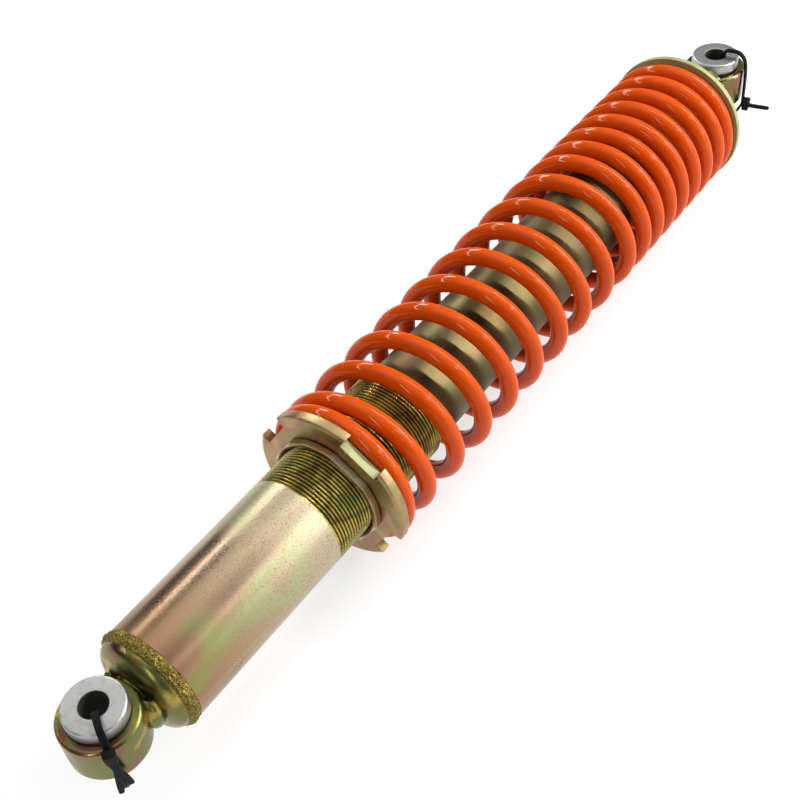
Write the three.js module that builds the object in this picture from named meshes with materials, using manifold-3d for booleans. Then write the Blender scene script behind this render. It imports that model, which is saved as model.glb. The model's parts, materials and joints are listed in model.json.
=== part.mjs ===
// Coil-over rear shock with a threaded preload collar.
// Millimetres. +X runs along the shock from the lower eye to the upper eye, +Z along both eye bores.
// The origin is the centre of the lower eye.

import * as THREE from 'three';
import { mergeVertices } from 'three/addons/utils/BufferGeometryUtils.js';
import Module from 'manifold-3d';

const wasm = await Module();
wasm.setup();

// ---- driving dimensions ----
const EYE_TO_EYE = 436;
const FIT = 0.3; // gap between pieces that touch

const EYE = { radius: 14.7, halfWidth: 8.6, bore: 9.2, chamfer: 0.9 };
const BUSH = { sleeve: 6.9, lipRadius: 11.3, lipFrom: 8.8, lipTo: 9.2 };
const SPACER = { radius: 11.2, shank: 6.6, bore: 5.1, from: 9.5, to: 14.4, edge: 0.9 };
const TIE = { width: 2.5, thick: 1.2, rise: 2.7, inBore: 3.4 };

const TUBE = { radius: 20.7, upperRadius: 19.2, bore: 17.2, from: 24.1, to: 320.5, lipBore: 14 };
const THREAD_TO = 164;
const WELD = { from: 19.9, to: 23.8, radius: 20.9 };
const CAP = { radius: 19.5, neck: 8.3, domeFrom: 14.5, rim: 19.6, spigot: 16.9, end: 30 };

const PRESSURE_TUBE = { radius: 13.6, bore: 11.8, from: 36, to: 304 };
const GUIDE = { radius: 16.9, from: 304.4, to: 313.6 };
const ROD = { radius: 6, from: 246, to: 412, thread: 5 };
const DUST_CAP = { from: 320.8, to: 324.2, radius: 18.6 };
const BUMP = { from: 324.5, to: 345.5, radius: 18.4 };

const COLLAR = { radius: 33.5, bore: 21.1, from: 120.8, to: 125.2, spigot: 24.5, spigotTo: 128.2 };
const LOCK_RING = { radius: 24, from: 117.6, to: 120.5, flat: 22.5 };
const NOTCH = { count: 4, width: 17, floor: 28.1, first: 34 };

const SEAT = { radius: 32.9, from: 394.6, to: 397.4, spigot: 24.3, spigotFrom: 391, hub: 13 };
const LOCK_NUT = { across: 19, from: 402, to: 409 };

const SPRING = { radius: 28.7, wire: 3.7, startX: 129.2, startAngle: 63, lead: 0.2 };
// turn number and pitch at that turn: closed end, open coils, close coils, closed end
const PITCHES = [[0.2, 0], [1, 19.2], [9.3, 19.2], [9.9, 11.85], [16.6, 11.85], [17.6, 0], [17.8, 0]];

const ROUND = 40;
const SMALL_ROUND = 24;
const EYE_ROUND = 28;

// ---- materials ----
const finish = (color, roughness, metalness) =>
  new THREE.MeshStandardMaterial({ color, roughness, metalness });
const yellowZinc = () => finish(0xb79d68, 0.34, 0.85);
const darkZinc = () => finish(0x7d7346, 0.4, 0.8);
const brass = () => finish(0xa98f45, 0.6, 0.8);
const aluminium = () => finish(0xc9cbcc, 0.3, 0.9);
const steel = () => finish(0x9fa3a8, 0.25, 0.95);
const chrome = () => finish(0xd8dadd, 0.08, 1);
const rubber = () => finish(0x161616, 0.85, 0);
const nylon = () => finish(0x0d0d0e, 0.5, 0);
const paint = () => finish(0xe8500f, 0.22, 0);

// ---- helpers ----
function signedVolume(position, index) {
  const a = new THREE.Vector3();
  const b = new THREE.Vector3();
  const c = new THREE.Vector3();
  let sum = 0;
  for (let i = 0; i < index.length; i += 3) {
    a.fromBufferAttribute(position, index[i]);
    b.fromBufferAttribute(position, index[i + 1]);
    c.fromBufferAttribute(position, index[i + 2]);
    sum += a.dot(b.cross(c));
  }
  return sum / 6;
}

// A closed three.js geometry as a manifold solid with its faces turned outwards.
function solid(geometry) {
  const bare = geometry.clone();
  bare.deleteAttribute('normal');
  bare.deleteAttribute('uv');
  const merged = mergeVertices(bare, 1e-4);
  const position = merged.getAttribute('position');
  const index = [];
  for (let i = 0; i < merged.index.count; i += 3) {
    const [a, b, c] = [0, 1, 2].map((k) => merged.index.getX(i + k));
    if (a !== b && b !== c && c !== a) {
      index.push(a, b, c);
    }
  }
  if (signedVolume(position, index) < 0) {
    index.reverse();
  }
  return new wasm.Manifold(new wasm.Mesh({
    numProp: 3,
    vertProperties: new Float32Array(position.array),
    triVerts: new Uint32Array(index),
  }));
}

function piece(name, body, material) {
  const mesh = body.getMesh();
  const geometry = new THREE.BufferGeometry();
  geometry.setAttribute('position', new THREE.BufferAttribute(new Float32Array(mesh.vertProperties), 3));
  geometry.setIndex(new THREE.BufferAttribute(new Uint32Array(mesh.triVerts), 1));
  geometry.computeVertexNormals();
  const made = new THREE.Mesh(geometry, material);
  made.name = name;
  return made;
}

// Turned shape about the shock's own axis; profile points are [radius, x].
function turnedX(profile, segments = ROUND) {
  const points = profile.map(([r, x]) => new THREE.Vector2(r, x));
  return solid(new THREE.LatheGeometry(points, segments).rotateZ(-Math.PI / 2));
}

// Turned shape about an eye bore at x; profile points are [radius, z].
function turnedZ(profile, x = 0, segments = SMALL_ROUND) {
  const points = profile.map(([r, z]) => new THREE.Vector2(r, z));
  return solid(new THREE.LatheGeometry(points, segments).rotateX(Math.PI / 2).translate(x, 0, 0));
}

const closed = (profile) => [...profile, profile[0]];
const ringX = (inner, outer, from, to, segments) =>
  turnedX(closed([[inner, from], [outer, from], [outer, to], [inner, to]]), segments);
const rodX = (radius, from, to, segments) =>
  turnedX([[0, from], [radius, from], [radius, to], [0, to]], segments);
const rodZ = (radius, from, to, x) =>
  turnedZ([[0, from], [radius, from], [radius, to], [0, to]], x);

// The same solid turned about the shock's axis.
function turned(geometry, degrees) {
  return solid(geometry.clone().rotateX(THREE.MathUtils.degToRad(degrees)));
}

function blob(rx, ry, rz, x, y, z) {
  return solid(new THREE.SphereGeometry(1, 14, 9).scale(rx, ry, rz).translate(x, y, z));
}

// ---- eyes, bushes and spacers ----
function eyeBarrel(x) {
  const { radius, halfWidth, bore, chamfer } = EYE;
  return turnedZ(closed([
    [bore, -halfWidth], [radius - chamfer, -halfWidth], [radius, chamfer - halfWidth],
    [radius, halfWidth - chamfer], [radius - chamfer, halfWidth], [bore, halfWidth],
  ]), x, EYE_ROUND);
}

function bush(x, side) {
  const { sleeve, lipRadius, lipFrom, lipTo } = BUSH;
  const outer = EYE.bore - FIT;
  return turnedZ(closed([
    [sleeve, side * FIT], [outer, side * FIT], [outer, side * lipFrom],
    [lipRadius, side * lipFrom], [lipRadius, side * lipTo], [sleeve, side * lipTo],
  ]), x);
}

function spacer(x, side) {
  const { radius, shank, bore, from, to, edge } = SPACER;
  const rounded = [0, 45, 90].map((degrees) => {
    const angle = THREE.MathUtils.degToRad(degrees);
    return [radius - edge + edge * Math.cos(angle), side * (to - edge + edge * Math.sin(angle))];
  });
  return turnedZ(closed([
    [bore, side * FIT], [shank, side * FIT], [shank, side * from], [radius, side * from],
    ...rounded, [bore, side * to],
  ]), x, EYE_ROUND);
}

// ---- cable tie: strap through the bore and round one side of the eye ----
function strap(points, width, thick, steps) {
  const path = new THREE.CatmullRomCurve3(points.map((p) => new THREE.Vector3(...p)), false, 'centripetal');
  const section = new THREE.Shape([
    new THREE.Vector2(-thick / 2, -width / 2), new THREE.Vector2(thick / 2, -width / 2),
    new THREE.Vector2(thick / 2, width / 2), new THREE.Vector2(-thick / 2, width / 2),
  ]);
  return new THREE.ExtrudeGeometry(section, { steps, extrudePath: path });
}

// Local frame: X out of the bore over the rim, Z up the bore, strap flat across Y.
function cableTie({ x, bearing, headZ, tails }) {
  const out = EYE.radius + 1.6;
  const top = SPACER.to + TIE.rise + TIE.thick / 2;
  const loop = [
    [out, 0, headZ], [out, 0, 10], [SPACER.radius + 1.4, 0, top - 1.1], [8, 0, top],
    [TIE.inBore + 1.2, 0, top - 0.4], [TIE.inBore, 0, SPACER.to - 2], [TIE.inBore, 0, 2 - SPACER.to],
    [TIE.inBore + 1.2, 0, 0.4 - top], [8, 0, -top], [SPACER.radius + 1.4, 0, 1.1 - top],
    [out, 0, -10], [out, 0, headZ],
  ];
  let body = solid(new THREE.BoxGeometry(3.4, 4.6, 5.6).translate(out + 0.7, 0, headZ));
  const upper = strap(loop.slice(0, 6), TIE.width, TIE.thick, 18);
  const lower = strap(loop.slice(5), TIE.width, TIE.thick, 16);
  body = body.add(solid(upper)).add(solid(lower));
  for (const tail of tails) {
    body = body.add(solid(strap(tail, TIE.width, TIE.thick, 6)));
  }
  return body.rotate([0, 0, bearing]).translate([x, 0, 0]);
}

// ---- damper body ----
function bodyTube() {
  const { radius, upperRadius, bore, from, to, lipBore } = TUBE;
  const outer = [[radius - 0.4, from], [radius, from + 0.5]];
  outer.push([radius, THREAD_TO], [upperRadius, THREAD_TO + 2], [upperRadius, to - 1.2]);
  outer.push([upperRadius - 1.2, to], [lipBore, to], [lipBore, to - 1.9], [bore, to - 1.9], [bore, from]);
  return turnedX(closed(outer), ROUND);
}

function endCap() {
  const { radius, neck, domeFrom, rim, spigot, end } = CAP;
  const dome = [];
  for (let degrees = 8; degrees <= 90; degrees += 20.5) {
    const angle = THREE.MathUtils.degToRad(degrees);
    dome.push([neck + (radius - neck) * Math.sin(angle), rim - (rim - domeFrom) * Math.cos(angle)]);
  }
  const turnedCap = turnedX([
    [0, 9], [neck, 9], [neck, domeFrom], ...dome, [radius, rim],
    [spigot, rim], [spigot, end - 4], [12, end], [0, end],
  ], 40);
  return turnedCap.subtract(rodZ(EYE.radius + FIT, -25, 25, 0));
}

function tubeWeld() {
  const { from, to, radius } = WELD;
  return turnedX(closed([
    [CAP.spigot + FIT, from], [radius - 1.5, from], [radius - 0.4, from + 0.8],
    [radius, (from + to) / 2], [radius - 0.1, to - 0.4], [radius - 0.6, to], [CAP.spigot + FIT, to],
  ]));
}

// Weld run where the neck meets the eye, on one side of the neck.
function eyeWeld(side, size) {
  const lump = blob(2.6 * size, 3.2 * size, 3.4 * size, 14.2, side * 9.3, 3.4)
    .add(blob(2 * size, 2.4 * size, 4.2, 14.4, side * 9.3, -2));
  return lump
    .subtract(rodZ(EYE.radius + FIT, -25, 25, 0))
    .subtract(rodX(CAP.neck + FIT, 0, 30, 40))
    .subtract(turnedX([
      [0, CAP.domeFrom - FIT], [CAP.radius + 1, CAP.domeFrom - FIT], [CAP.radius + 1, 40], [0, 40],
    ]));
}

// ---- hydraulics inside the body ----
function holed(body, count, ring, radius, from, to) {
  let cut = body;
  for (let i = 0; i < count; i += 1) {
    const hole = new THREE.CylinderGeometry(radius, radius, to - from, 12);
    hole.rotateZ(Math.PI / 2).translate((from + to) / 2, ring, 0);
    cut = cut.subtract(turned(hole, (360 * i) / count));
  }
  return cut;
}

function baseValve() {
  const valve = turnedX([
    [0, 30.5], [13.4, 30.5], [13.4, 35.7], [11.4, 35.7], [11.4, 42], [3, 42], [3, 45], [0, 45],
  ], SMALL_ROUND);
  return holed(valve, 6, 7.5, 1.4, 30, 43);
}

function rodGuide() {
  const { radius, from, to } = GUIDE;
  return turnedX(closed([
    [ROD.radius + FIT, from - 5], [11.4, from - 5], [11.4, from], [radius, from],
    [radius, to], [ROD.radius + FIT, to],
  ]), SMALL_ROUND);
}

function piston() {
  const bore = ROD.thread + FIT;
  const body = turnedX(closed([
    [bore, 258], [11.4, 258], [11.4, 261], [10.2, 261], [10.2, 267], [11.4, 267], [11.4, 270], [bore, 270],
  ]), SMALL_ROUND);
  return holed(body, 6, 7.8, 1.1, 257, 271);
}

function pistonRod() {
  const { radius, from, to, thread } = ROD;
  return turnedX([
    [0, from], [thread - 0.6, from], [thread, from + 0.6], [thread, 270.3], [radius, 270.3],
    [radius, 393], [thread, 394], [thread, to - 0.6], [thread - 0.6, to], [0, to],
  ], SMALL_ROUND);
}

function hexNut(across, from, to, bore) {
  const hex = new THREE.CylinderGeometry(across / Math.sqrt(3), across / Math.sqrt(3), to - from, 6);
  hex.rotateZ(Math.PI / 2).translate((from + to) / 2, 0, 0);
  return solid(hex).subtract(rodX(bore, from - 1, to + 1, 24));
}

function bumpStop() {
  const { from, to, radius } = BUMP;
  const bore = ROD.radius + 0.4;
  return turnedX(closed([
    [bore, from], [radius - 0.8, from], [radius, from + 1], [radius, from + 6.5], [radius - 2.2, from + 9],
    [radius - 0.3, from + 11.5], [radius - 1, from + 16], [radius - 4, to - 1],
    [radius - 5, to], [bore, to],
  ]), 40);
}

// ---- spring, collar and seats ----
// Distance along the shock after a number of turns, from the pitch at each turn.
function coilX(turn) {
  let x = SPRING.startX;
  for (let i = 1; i < PITCHES.length; i += 1) {
    const [t0, p0] = PITCHES[i - 1];
    const [t1, p1] = PITCHES[i];
    const t = THREE.MathUtils.clamp(turn, t0, t1);
    const p = p0 + ((p1 - p0) * (t - t0)) / (t1 - t0);
    x += ((p0 + p) / 2) * (t - t0);
  }
  return x;
}

class Helix extends THREE.Curve {
  getPoint(t, target = new THREE.Vector3()) {
    const last = PITCHES[PITCHES.length - 1][0];
    const turn = THREE.MathUtils.lerp(-SPRING.lead, last, t);
    const angle = THREE.MathUtils.degToRad(SPRING.startAngle) + 2 * Math.PI * turn;
    return target.set(coilX(turn), SPRING.radius * Math.cos(angle), SPRING.radius * Math.sin(angle));
  }
}

function spring() {
  const path = new Helix();
  path.arcLengthDivisions = 3000;
  const section = new THREE.Shape();
  for (let i = 0; i < 8; i += 1) {
    const angle = (Math.PI / 4) * i;
    const point = [SPRING.wire * Math.cos(angle), SPRING.wire * Math.sin(angle)];
    if (i === 0) {
      section.moveTo(...point);
    } else {
      section.lineTo(...point);
    }
  }
  section.closePath();
  return solid(new THREE.ExtrudeGeometry(section, { steps: 320, extrudePath: path }));
}

function springSeatRing() {
  const { radius, bore, from, to, spigot, spigotTo } = COLLAR;
  let ring = turnedX(closed([
    [bore + 0.6, from], [radius - 1.6, from], [radius, from + 0.5], [radius, to - 0.4], [radius - 0.4, to],
    [spigot, to], [spigot - 0.6, spigotTo], [bore, spigotTo], [bore, from + 0.6],
  ]), 48);
  for (let i = 0; i < NOTCH.count; i += 1) {
    const notch = new THREE.BoxGeometry(20, 12, NOTCH.width).translate(from, NOTCH.floor + 6, 0);
    ring = ring.subtract(turned(notch, NOTCH.first + (360 * i) / NOTCH.count));
  }
  return ring;
}

function lockRing() {
  const { radius, from, to, flat } = LOCK_RING;
  let ring = turnedX(closed([
    [COLLAR.bore + 1.2, from], [radius - 0.4, from], [radius, from + 0.4], [radius, to],
    [COLLAR.bore, to], [COLLAR.bore, from + 1.2],
  ]), ROUND);
  for (let i = 0; i < NOTCH.count; i += 1) {
    const side = new THREE.BoxGeometry(20, 8, 30).translate(from, flat + 4, 0);
    ring = ring.subtract(turned(side, NOTCH.first + (360 * i) / NOTCH.count));
  }
  return ring;
}

function upperSpringSeat() {
  const { radius, from, to, spigot, spigotFrom, hub } = SEAT;
  const bore = ROD.thread + FIT;
  return turnedX(closed([
    [bore, 394.3], [hub - 3, 394.3], [spigot - 4, spigotFrom], [spigot - 0.8, spigotFrom],
    [spigot, spigotFrom + 0.8], [spigot, from], [radius - 0.4, from], [radius, from + 0.4],
    [radius, to - 0.4], [radius - 0.4, to], [spigot - 3, to], [spigot - 6, 395], [hub, 398],
    [hub, 401.7], [bore, 401.7],
  ]), 48);
}

function upperEye() {
  const neck = turnedX([
    [0, 409.3], [8, 409.3], [9.4, 411], [9.4, 420], [11, EYE_TO_EYE - 10], [0, EYE_TO_EYE - 10],
  ], SMALL_ROUND);
  return eyeBarrel(EYE_TO_EYE)
    .add(neck.subtract(rodZ(EYE.radius - 1, -20, 20, EYE_TO_EYE)))
    .subtract(rodX(ROD.thread + FIT, 400, ROD.to + FIT, 24));
}

// ---- the parts, in the order they are put together ----
const group = new THREE.Group();
group.name = 'rear_shock';

const tail = EYE.radius + 2.9;
const lowerTie = cableTie({
  x: 0,
  bearing: -121,
  headZ: 9,
  tails: [
    [[tail, 0.9, 9], [tail + 0.2, 0.2, 2], [tail, -1.6, -12]],
    [[tail, -0.9, 9], [tail + 0.2, 0.4, 2], [tail, 2.6, -9]],
  ],
});
const upperTie = cableTie({
  x: EYE_TO_EYE,
  bearing: -82,
  headZ: -10,
  tails: [[[tail - 1, 0, -10], [tail + 4, 0, -10.3], [tail + 12, 0, -10]]],
});

group.add(
  piece('lower_eye', eyeBarrel(0), darkZinc()),
  piece('end_cap', endCap(), darkZinc()),
  piece('eye_weld_left', eyeWeld(1, 0.8), brass()),
  piece('eye_weld_right', eyeWeld(-1, 1), brass()),
  piece('tube_weld', tubeWeld(), brass()),
  piece('body_tube', bodyTube(), yellowZinc()),
  piece('pressure_tube', ringX(
    PRESSURE_TUBE.bore, PRESSURE_TUBE.radius, PRESSURE_TUBE.from, PRESSURE_TUBE.to, SMALL_ROUND,
  ), steel()),
  piece('base_valve', baseValve(), steel()),
  piece('rod_guide', rodGuide(), aluminium()),
  piece('oil_seal', ringX(ROD.radius + 0.2, GUIDE.radius, GUIDE.to + 0.3, 318.3, SMALL_ROUND), rubber()),
  piece('dust_cap', ringX(ROD.radius + 0.4, DUST_CAP.radius, DUST_CAP.from, DUST_CAP.to, 40), nylon()),
  piece('bump_stop', bumpStop(), rubber()),
  piece('lock_ring', lockRing(), yellowZinc()),
  piece('spring_seat_ring', springSeatRing(), yellowZinc()),
  piece('spring', spring(), paint()),
  piece('piston_rod', pistonRod(), chrome()),
  piece('piston', piston(), steel()),
  piece('piston_ring', ringX(10.5, 11.7, 261.3, 266.7, SMALL_ROUND), nylon()),
  piece('piston_nut', hexNut(17, 250, 257.7, ROD.thread + FIT), steel()),
  piece('rebound_stop', ringX(ROD.radius + 0.2, 9.5, 276, 299, SMALL_ROUND), steel()),
  piece('upper_spring_seat', upperSpringSeat(), yellowZinc()),
  piece('rod_lock_nut', hexNut(LOCK_NUT.across, LOCK_NUT.from, LOCK_NUT.to, ROD.thread + FIT), yellowZinc()),
  piece('upper_eye', upperEye(), darkZinc()),
);

for (const [eye, x, tie] of [['lower', 0, lowerTie], ['upper', EYE_TO_EYE, upperTie]]) {
  for (const [end, side] of [['top', 1], ['bottom', -1]]) {
    group.add(
      piece(`${eye}_bush_${end}`, bush(x, side), rubber()),
      piece(`${eye}_spacer_${end}`, spacer(x, side), aluminium()),
    );
  }
  group.add(piece(`${eye}_cable_tie`, tie, nylon()));
}

export default group;
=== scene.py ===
"""Coil-over rear shock: the finished pieces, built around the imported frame."""

import json
import math

import bmesh
import bpy
from bpy.props import FloatProperty, FloatVectorProperty, IntProperty, PointerProperty
from mathutils import Matrix, Vector, noise


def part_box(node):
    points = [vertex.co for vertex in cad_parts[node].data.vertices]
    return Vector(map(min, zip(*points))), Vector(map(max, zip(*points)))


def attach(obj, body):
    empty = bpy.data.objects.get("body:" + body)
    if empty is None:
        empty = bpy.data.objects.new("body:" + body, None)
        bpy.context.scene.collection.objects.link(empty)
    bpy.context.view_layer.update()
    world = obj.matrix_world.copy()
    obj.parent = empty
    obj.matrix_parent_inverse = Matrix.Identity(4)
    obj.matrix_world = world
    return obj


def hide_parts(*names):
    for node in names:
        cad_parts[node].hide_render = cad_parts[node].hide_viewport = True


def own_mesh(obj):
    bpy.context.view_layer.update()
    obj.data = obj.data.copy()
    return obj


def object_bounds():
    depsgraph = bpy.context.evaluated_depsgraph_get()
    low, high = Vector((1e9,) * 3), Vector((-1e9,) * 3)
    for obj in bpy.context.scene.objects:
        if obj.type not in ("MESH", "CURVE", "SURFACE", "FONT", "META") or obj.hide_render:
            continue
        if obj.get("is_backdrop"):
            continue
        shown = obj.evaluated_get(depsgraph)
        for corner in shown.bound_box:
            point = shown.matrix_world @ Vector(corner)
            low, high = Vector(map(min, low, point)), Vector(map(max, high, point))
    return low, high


bl_info = {
    "name": "Coil-over Rear Shock",
    "version": (1, 0, 0),
    "blender": (4, 5, 0),
    "location": "3D View > Sidebar > Shock",
    "description": "Builds the visible pieces of a coil-over rear shock around its frame",
    "category": "Object",
}

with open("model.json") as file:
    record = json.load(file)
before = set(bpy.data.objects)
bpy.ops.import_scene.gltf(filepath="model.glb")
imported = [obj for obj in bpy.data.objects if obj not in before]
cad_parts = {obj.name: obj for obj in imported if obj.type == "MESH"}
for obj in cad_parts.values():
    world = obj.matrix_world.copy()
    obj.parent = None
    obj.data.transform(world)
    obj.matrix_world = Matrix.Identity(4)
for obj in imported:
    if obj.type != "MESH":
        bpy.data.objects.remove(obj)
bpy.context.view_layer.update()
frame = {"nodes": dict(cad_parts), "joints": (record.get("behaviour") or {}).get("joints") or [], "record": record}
MM = 0.001
TAU = 2 * math.pi


def span(node):
    """Start, end and outer radius of a CAD node that is turned about the shock's axis."""
    low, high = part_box(node)
    return low.x, high.x, high.y


def eye_centre(end):
    """Where an eye's bore crosses the shock's axis, along X."""
    low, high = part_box(f"{end}_spacer_top")
    return (low.x + high.x) / 2


# ---------------------------------------------------------------- sizes and colours


def length(name, description, default):
    return FloatProperty(name=name, description=description, default=default, min=0,
                         unit="LENGTH", subtype="DISTANCE", precision=5)


def colour(name, description, default):
    return FloatVectorProperty(name=name, description=description, default=default, size=3,
                               min=0, max=1, subtype="COLOR")


class ShockSizes(bpy.types.PropertyGroup):
    thread_pitch: length("Thread pitch", "Pitch of the preload thread", 1.5 * MM)
    thread_depth: length("Thread depth", "Depth of the preload thread", 0.8 * MM)
    thread_start: length("Thread start", "Distance from the lower eye to the thread's first turn", 100 * MM)
    thread_end: length("Thread end", "Distance from the lower eye to the thread's last turn", 164 * MM)
    upper_tube: length("Upper tube radius", "Radius of the body above the thread", 19.2 * MM)
    wire: length("Spring wire radius", "Radius of the spring's wire", 3.7 * MM)
    bead_grain: length("Weld grain", "Size of the grains in the weld bead", 1.0 * MM)
    tie_width: length("Tie width", "Width of a cable tie's strap", 2.5 * MM)
    tie_thick: length("Tie thickness", "Thickness of a cable tie's strap", 1.2 * MM)
    segments: IntProperty(name="Segments", description="Faces around a turned piece",
                          default=144, min=24, max=512)


class ShockColours(bpy.types.PropertyGroup):
    paint: colour("Spring paint", "Gloss paint on the spring", (0.60, 0.070, 0.001))
    zinc_tan: colour("Zinc tan", "Main tone of the yellow zinc", (0.33, 0.20, 0.10))
    zinc_pink: colour("Zinc pink", "Pink bloom in the yellow zinc", (0.35, 0.185, 0.115))
    zinc_green: colour("Zinc green", "Green bloom in the yellow zinc", (0.25, 0.29, 0.09))
    zinc_gold: colour("Zinc gold", "Gold of the thread and welds", (0.50, 0.38, 0.09))
    olive: colour("Olive", "Dark tone of the zinc on the eyes and the upper tube", (0.19, 0.16, 0.05))
    aluminium: colour("Aluminium", "Turned spacers", (0.46, 0.46, 0.45))
    floor: colour("Floor", "Studio floor", (0.36, 0.36, 0.36))
    floor_glow: FloatProperty(name="Floor glow", description="Light that the studio floor gives off",
                              default=0.66, min=0, max=2)


def sizes():
    return bpy.context.scene.shock_sizes


def colours():
    return bpy.context.scene.shock_colours


# ---------------------------------------------------------------- shader maths


class Value:
    """A shader socket that can be added, subtracted, multiplied and divided."""

    def __init__(self, nodes, socket):
        self.nodes = nodes
        self.socket = socket

    def _maths(self, operation, first, second):
        return self.nodes.node("ShaderNodeMath", {"operation": operation}, {0: first, 1: second})

    def __add__(self, other):
        return self._maths("ADD", self, other)

    def __radd__(self, other):
        return self._maths("ADD", other, self)

    def __sub__(self, other):
        return self._maths("SUBTRACT", self, other)

    def __rsub__(self, other):
        return self._maths("SUBTRACT", other, self)

    def __mul__(self, other):
        return self._maths("MULTIPLY", self, other)

    def __rmul__(self, other):
        return self._maths("MULTIPLY", other, self)

    def __truediv__(self, other):
        return self._maths("DIVIDE", self, other)

    def __pow__(self, other):
        return self._maths("POWER", self, other)


class Nodes:
    """A node tree and the one way in which its nodes are made: type, settings, then sockets."""

    def __init__(self, tree):
        self.tree = tree

    def node(self, kind, settings=None, inputs=None, output=0):
        made = self.tree.nodes.new(kind)
        for key, value in (settings or {}).items():
            if key == "stops":
                self._stops(made.color_ramp, value)
            else:
                setattr(made, key, value)
        for key, value in (inputs or {}).items():
            self.feed(made.inputs[key], value)
        return Value(self, made.outputs[output])

    def _stops(self, ramp, stops):
        while len(ramp.elements) < len(stops):
            ramp.elements.new(0.5)
        for element, (position, tone) in zip(ramp.elements, stops):
            element.position = position
            element.color = (*tone, 1)

    def feed(self, socket, value):
        if isinstance(value, Value):
            self.tree.links.new(value.socket, socket)
        else:
            socket.default_value = value


class Finish(Nodes):
    """A material in the making: its Principled shader and the nodes that feed it."""

    def __init__(self, name, **constants):
        self.material = bpy.data.materials.new(f"{name}_finish")
        self.material.use_nodes = True
        super().__init__(self.material.node_tree)
        self.shader = self.tree.nodes["Principled BSDF"]
        for socket, value in constants.items():
            self.set(socket.replace("_", " "), value)

    def set(self, name, value):
        self.feed(self.shader.inputs[name], value)

    def place(self):
        return self.node("ShaderNodeTexCoord", output="Object")

    def axis(self, name):
        return self.node("ShaderNodeSeparateXYZ", inputs={0: self.place()}, output=name)

    def stretched(self, scale):
        return self.node("ShaderNodeMapping", inputs={"Vector": self.place(), "Scale": scale})

    def clouds(self, size, detail=3, vector=None, rough=0.5, distort=0.0):
        """Soft noise whose blotches are about size metres across."""
        return self.node("ShaderNodeTexNoise", inputs={
            "Vector": vector or self.place(), "Scale": 1 / size, "Detail": detail,
            "Roughness": rough, "Distortion": distort})

    def ramp(self, value, low, high):
        """Rises smoothly from 0 at low to 1 at high, or falls where low is the higher."""
        return self.node("ShaderNodeMapRange", {"interpolation_type": "SMOOTHSTEP"}, {
            "Value": value, "From Min": low, "From Max": high})

    def blend(self, factor, first, second):
        """Mixes two colours, each a triple or a Value; 6, 7 and output 2 are the Mix node's colours."""
        first, second = (tone if isinstance(tone, Value) else (*tone, 1) for tone in (first, second))
        return self.node("ShaderNodeMix", {"data_type": "RGBA"}, {0: factor, 6: first, 7: second}, output=2)

    def bump(self, height, depth, strength=1.0):
        self.set("Normal", self.node("ShaderNodeBump", inputs={
            "Height": height, "Distance": depth, "Strength": strength}))


# seven levels of the drifting noise, at which the seven tones of a plating lie
PATCH_LEVELS = (0.30, 0.40, 0.47, 0.53, 0.59, 0.66, 0.74)
BROWN = (0.20, 0.11, 0.05)
UMBER = (0.27, 0.15, 0.07)
SOOT = (0.08, 0.05, 0.02)
SAND = (0.42, 0.28, 0.14)
MOSS = (0.30, 0.25, 0.10)
LIME = (0.31, 0.34, 0.13)
PALE_GREEN = (0.36, 0.38, 0.19)
UPPER_GREENS = ((0.11, 0.09, 0.035), (0.12, 0.11, 0.045), (0.11, 0.12, 0.04))
UPPER_PINKS = ((0.15, 0.10, 0.05), (0.16, 0.10, 0.055))
# painted highlight colour for the sharp edges of the zinc parts
EDGE_HIGHLIGHT_PAINT = (0.62, 0.58, 0.40)
# painted shade: near-black colour laid in the roots of the thread
PAINTED_GROOVE_SHADE = (0.03, 0.022, 0.004)
# soot for random patches of the weld, and painted shade in the gaps between its grains
WELD_SOOT_AND_SHADE = (0.045, 0.03, 0.007)


def darker(tone, share):
    return [share * v for v in tone]


def zinc(name, tones, patch, gloss, drawn=0.0, grain=0.02 * MM, edge_highlight=0.7, grooves=None, metal=1.0):
    """Yellow zinc plating: drifting patches from brown through pink and gold to green, with a painted highlight in
    patches along its sharp edges.

    patch is the size of a patch, gloss the least roughness, drawn how much of the grain runs along the
    shock, and grooves the radii between which a thread darkens from its own tone at the crest to a painted shade
    at the root.
    """
    finish = Finish(name, Metallic=metal)
    drift = finish.clouds(patch, 2, finish.stretched((0.5, 1, 1)), rough=0.4, distort=0.25)
    fine = finish.clouds(1.3 * MM, 4)
    speckle = finish.clouds(0.5 * MM, 3)
    spread = drift + 0.10 * (fine - 0.5)
    tone = finish.node("ShaderNodeValToRGB", {"stops": list(zip(PATCH_LEVELS, tones))}, {0: spread})
    tone = finish.blend(finish.ramp(fine, 0.5, 0.8) * 0.08, tone, darker(tones[0], 0.3))
    # painted shade: the thread turns near black towards its roots, where shade falls between the crests
    if grooves:
        y, z = finish.axis("Y"), finish.axis("Z")
        radius = (y * y + z * z) ** 0.5
        tone = finish.blend(finish.ramp(radius, *grooves), PAINTED_GROOVE_SHADE, tone)
    # painted highlight: sharp convex edges are lightened in patches, standing in for the light that catches them
    if edge_highlight:
        edge = finish.node("ShaderNodeNewGeometry", output="Pointiness")
        painted_edge_highlight = finish.ramp(edge, 0.53, 0.60) * finish.ramp(speckle, 0.3, 0.5) * edge_highlight
        tone = finish.blend(painted_edge_highlight, tone, EDGE_HIGHLIGHT_PAINT)
    finish.set("Base Color", tone)
    finish.set("Roughness", gloss + 0.14 * finish.ramp(drift, 0.35, 0.65) + 0.10 * speckle)
    height = fine * 0.6 + speckle * 0.4
    if drawn:
        lines = finish.clouds(1.2 * MM, 2, finish.stretched((0.02, 1, 1)))
        height = height * (1 - drawn) + lines * drawn
    finish.bump(height, grain)


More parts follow.
